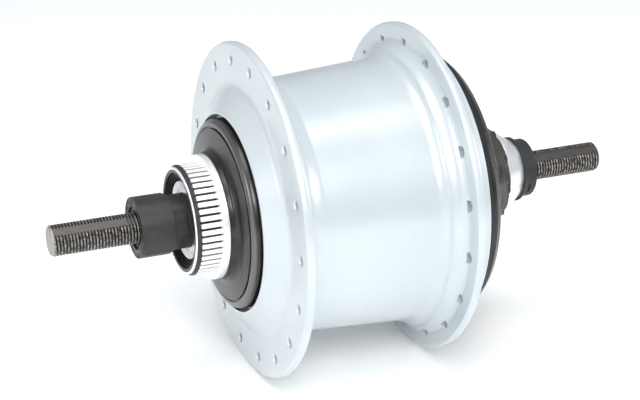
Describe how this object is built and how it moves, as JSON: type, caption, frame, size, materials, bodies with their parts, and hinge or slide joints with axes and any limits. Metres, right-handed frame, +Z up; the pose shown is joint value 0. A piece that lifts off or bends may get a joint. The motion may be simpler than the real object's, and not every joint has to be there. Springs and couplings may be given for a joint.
{
  "type": "internal gear hub",
  "caption": "Internal gear hub with two spoke flanges, a threaded axle, a splined brake side, a sprocket driver, planetary gears, a roller clutch and ball bearings inside.",
  "frame": {"origin": "middle of the axle, half way between the outer faces of the two locknuts", "axes": "+Y along the axle to the brake side, -Y to the sprocket side, +Z up, +X forwards as the wheel rolls"},
  "size_m": [0.104, 0.184, 0.104],
  "materials": {
    "axle_steel": "worn threaded steel",
    "black_steel": "black oxide, satin",
    "bright_steel": "bright turned steel",
    "gear_steel": "oiled, ground steel",
    "carrier_steel": "pressed and sintered steel",
    "spring_steel": "blued spring steel",
    "driver_steel": "brown-grey turned steel",
    "gunmetal": "dark plated steel",
    "seal_rubber": "moulded, matt",
    "shell_paint": "pearl blue-white, satin gloss"
  },
  "bodies": {
    "axle_assembly": {"axle": "axle_steel", "left_locknut": "black_steel", "left_washer": "black_steel", "left_cone": "black_steel", "left_cone_cap": "bright_steel", "right_locknut": "black_steel", "right_tab_washer": "black_steel", "right_cone": "bright_steel", "reduction_sun": "gear_steel", "overdrive_sun_large": "gear_steel", "sun_pawls": "gear_steel", "sleeve_return_spring": "spring_steel"},
    "sleeve": {"shift_sleeve": "gear_steel"},
    "shell": {"hub_shell": "shell_paint", "left_hub_cup": "bright_steel", "left_dust_cover": "gunmetal", "left_seal": "seal_rubber", "clutch_race": "gear_steel", "right_ball_cup": "gunmetal", "right_seal": "seal_rubber"},
    "driver_assembly": {"driver": "driver_steel", "driver_dust_cap": "driver_steel", "reduction_ring": "gear_steel"},
    "carrier": {"reduction_carrier": "carrier_steel", "overdrive_carrier": "carrier_steel", "reduction_pins": "gear_steel", "overdrive_pins": "gear_steel"},
    "output": {"output_ring": "gear_steel", "clutch_rollers": "bright_steel", "clutch_cage": "carrier_steel"},
    "small_sun": {"overdrive_sun_small": "gear_steel"},
    "middle_sun": {"overdrive_sun_middle": "gear_steel"},
    "left_bearing": {"left_balls": "bright_steel", "left_ball_cage": "carrier_steel"},
    "driver_bearing": {"driver_balls": "bright_steel", "driver_ball_cage": "carrier_steel"},
    "shell_bearing": {"shell_balls": "bright_steel", "shell_ball_cage": "carrier_steel"},
    "reduction_planet_1": {"reduction_planet_1": "gear_steel"},
    "overdrive_planet_1": {"overdrive_planet_1": "gear_steel"},
    "reduction_planet_2": {"reduction_planet_2": "gear_steel"},
    "overdrive_planet_2": {"overdrive_planet_2": "gear_steel"},
    "reduction_planet_3": {"reduction_planet_3": "gear_steel"},
    "overdrive_planet_3": {"overdrive_planet_3": "gear_steel"},
    "reduction_planet_4": {"reduction_planet_4": "gear_steel"},
    "overdrive_planet_4": {"overdrive_planet_4": "gear_steel"}
  },
  "joints": [
    {"name": "shell_spin", "type": "hinge", "parent": "axle_assembly", "child": "shell", "pos_m": [0, 0, 0], "axis": [0, 1, 0], "continuous": true},
    {"name": "driver_spin", "type": "hinge", "parent": "axle_assembly", "child": "driver_assembly", "pos_m": [0, 0, 0], "axis": [0, 1, 0], "continuous": true},
    {"name": "carrier_spin", "type": "hinge", "parent": "axle_assembly", "child": "carrier", "pos_m": [0, 0, 0], "axis": [0, 1, 0], "continuous": true},
    {"name": "output_spin", "type": "hinge", "parent": "axle_assembly", "child": "output", "pos_m": [0, 0, 0], "axis": [0, 1, 0], "continuous": true},
    {"name": "small_sun_spin", "type": "hinge", "parent": "axle_assembly", "child": "small_sun", "pos_m": [0, 0, 0], "axis": [0, 1, 0], "continuous": true},
    {"name": "middle_sun_spin", "type": "hinge", "parent": "axle_assembly", "child": "middle_sun", "pos_m": [0, 0, 0], "axis": [0, 1, 0], "continuous": true},
    {"name": "reduction_planet_1_spin", "type": "hinge", "parent": "carrier", "child": "reduction_planet_1", "pos_m": [0.0207, 0, 0], "axis": [0, 1, 0], "continuous": true},
    {"name": "reduction_planet_2_spin", "type": "hinge", "parent": "carrier", "child": "reduction_planet_2", "pos_m": [0, 0, -0.0207], "axis": [0, 1, 0], "continuous": true},
    {"name": "reduction_planet_3_spin", "type": "hinge", "parent": "carrier", "child": "reduction_planet_3", "pos_m": [-0.0207, 0, 0], "axis": [0, 1, 0], "continuous": true},
    {"name": "reduction_planet_4_spin", "type": "hinge", "parent": "carrier", "child": "reduction_planet_4", "pos_m": [0, 0, 0.0207], "axis": [0, 1, 0], "continuous": true},
    {"name": "overdrive_planet_1_spin", "type": "hinge", "parent": "carrier", "child": "overdrive_planet_1", "pos_m": [0.022, 0, 0], "axis": [0, 1, 0], "continuous": true},
    {"name": "overdrive_planet_2_spin", "type": "hinge", "parent": "carrier", "child": "overdrive_planet_2", "pos_m": [0, 0, -0.022], "axis": [0, 1, 0], "continuous": true},
    {"name": "overdrive_planet_3_spin", "type": "hinge", "parent": "carrier", "child": "overdrive_planet_3", "pos_m": [-0.022, 0, 0], "axis": [0, 1, 0], "continuous": true},
    {"name": "overdrive_planet_4_spin", "type": "hinge", "parent": "carrier", "child": "overdrive_planet_4", "pos_m": [0, 0, 0.022], "axis": [0, 1, 0], "continuous": true},
    {"name": "left_bearing_roll", "type": "hinge", "parent": "axle_assembly", "child": "left_bearing", "pos_m": [0, 0, 0], "axis": [0, 1, 0], "continuous": true},
    {"name": "driver_bearing_roll", "type": "hinge", "parent": "axle_assembly", "child": "driver_bearing", "pos_m": [0, 0, 0], "axis": [0, 1, 0], "continuous": true},
    {"name": "shell_bearing_roll", "type": "hinge", "parent": "axle_assembly", "child": "shell_bearing", "pos_m": [0, 0, 0], "axis": [0, 1, 0], "continuous": true},
    {"name": "gear_shift", "type": "hinge", "parent": "axle_assembly", "child": "sleeve", "pos_m": [0, 0, 0], "axis": [0, 1, 0], "range_deg": [-42, 56]}
  ],
  "couplings": [
    {"joint": "carrier_spin", "follows": "driver_spin", "ratio": 0.52803},
    {"joint": "output_spin", "follows": "driver_spin", "ratio": 0.85653},
    {"joint": "small_sun_spin", "follows": "driver_spin", "ratio": -0.96078},
    {"joint": "middle_sun_spin", "follows": "driver_spin", "ratio": -0.25531},
    {"joint": "driver_bearing_roll", "follows": "driver_spin", "ratio": 0.5765},
    {"joint": "shell_bearing_roll", "follows": "driver_spin", "ratio": 0.478},
    {"joint": "reduction_planet_1_spin", "follows": "driver_spin", "ratio": 1.3404},
    {"joint": "overdrive_planet_1_spin", "follows": "driver_spin", "ratio": 1.1315},
    {"joint": "reduction_planet_2_spin", "follows": "driver_spin", "ratio": 1.3404},
    {"joint": "overdrive_planet_2_spin", "follows": "driver_spin", "ratio": 1.1315},
    {"joint": "reduction_planet_3_spin", "follows": "driver_spin", "ratio": 1.3404},
    {"joint": "overdrive_planet_3_spin", "follows": "driver_spin", "ratio": 1.1315},
    {"joint": "reduction_planet_4_spin", "follows": "driver_spin", "ratio": 1.3404},
    {"joint": "overdrive_planet_4_spin", "follows": "driver_spin", "ratio": 1.1315},
    {"joint": "left_bearing_roll", "follows": "shell_spin", "ratio": 0.6}
  ]
}
